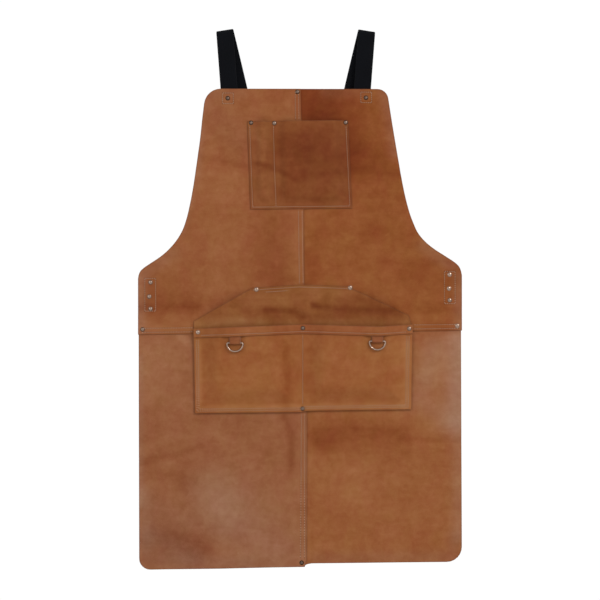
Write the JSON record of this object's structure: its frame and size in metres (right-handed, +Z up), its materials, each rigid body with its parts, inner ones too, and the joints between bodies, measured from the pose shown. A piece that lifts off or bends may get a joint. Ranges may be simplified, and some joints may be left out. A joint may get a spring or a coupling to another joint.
{
  "type": "welding apron",
  "caption": "Split-leather welding apron with seamed panels, riveted bib and tool pockets, D-rings, webbing shoulder straps and a buckled waist belt.",
  "frame": {"origin": "on the apron's middle, level with the insides of the two shoulder strap folds, where it hangs", "axes": "+Z up along the apron's length, +X to the right seen from the front, -Y out of the front face"},
  "size_m": [0.6149, 0.0452, 1.0277],
  "materials": {
    "leather": "brown split cowhide, lightly waxed, stitched with pale thread",
    "webbing": "black woven webbing, matte",
    "rivet_metal": "antique nickel, satin",
    "ring_metal": "nickel plated, polished",
    "black_plastic": "moulded acetal, satin"
  },
  "bodies": {
    "apron": {"bib_panel_left": "leather", "bib_panel_right": "leather", "bib_pocket": "leather", "buckle_plug": "black_plastic", "hand_pocket": "leather", "ring_tab_left": "leather", "ring_tab_right": "leather", "rivet_band_left": "rivet_metal", "rivet_band_middle": "rivet_metal", "rivet_band_right": "rivet_metal", "rivet_bib_pocket_divider": "rivet_metal", "rivet_bib_pocket_inner": "rivet_metal", "rivet_bib_pocket_outer": "rivet_metal", "rivet_bib_top": "rivet_metal", "rivet_hand_pocket_left": "rivet_metal", "rivet_hand_pocket_right": "rivet_metal", "rivet_hem": "rivet_metal", "rivet_pocket_floor": "rivet_metal", "rivet_side_left_lower": "rivet_metal", "rivet_side_left_middle": "rivet_metal", "rivet_side_left_upper": "rivet_metal", "rivet_side_right_lower": "rivet_metal", "rivet_side_right_middle": "rivet_metal", "rivet_side_right_upper": "rivet_metal", "rivet_strap_left": "rivet_metal", "rivet_strap_right": "rivet_metal", "rivet_waist_left": "rivet_metal", "rivet_waist_right": "rivet_metal", "shoulder_strap_left": "webbing", "shoulder_strap_right": "webbing", "side_patch_left": "leather", "side_patch_right": "leather", "skirt_panel_left": "leather", "skirt_panel_right": "leather", "strap_loop_left": "webbing", "strap_loop_right": "webbing", "tool_pocket": "leather", "tool_pocket_band": "leather", "waist_belt_left": "webbing", "waist_belt_right": "webbing"},
    "ring_left": {"d_ring_left": "ring_metal"},
    "ring_right": {"d_ring_right": "ring_metal"},
    "adjuster_left": {"strap_adjuster_left": "black_plastic"},
    "adjuster_right": {"strap_adjuster_right": "black_plastic"},
    "socket": {"buckle_socket": "black_plastic"}
  },
  "joints": [
    {"name": "ring_left_swing", "type": "hinge", "parent": "apron", "child": "ring_left", "pos_m": [-0.1227, -0.02755, -0.592], "axis": [-1, 0, 0], "range_deg": [0, 150]},
    {"name": "ring_right_swing", "type": "hinge", "parent": "apron", "child": "ring_right", "pos_m": [0.1462, -0.02565, -0.5887], "axis": [-1, 0, 0], "range_deg": [0, 150]},
    {"name": "adjuster_left_slide", "type": "slide", "parent": "apron", "child": "adjuster_left", "axis": [-0.2003, 0, 0.9797], "range_m": [-0.025, 0.06], "deforming": ["strap_loop_left"]},
    {"name": "adjuster_right_slide", "type": "slide", "parent": "apron", "child": "adjuster_right", "axis": [0.2, 0, 0.9798], "range_m": [-0.025, 0.06], "deforming": ["strap_loop_right"]},
    {"name": "buckle_release", "type": "slide", "parent": "apron", "child": "socket", "axis": [-0.9997, 0, -0.0264], "range_m": [0, 0.04], "deforming": ["waist_belt_left"]}
  ]
}
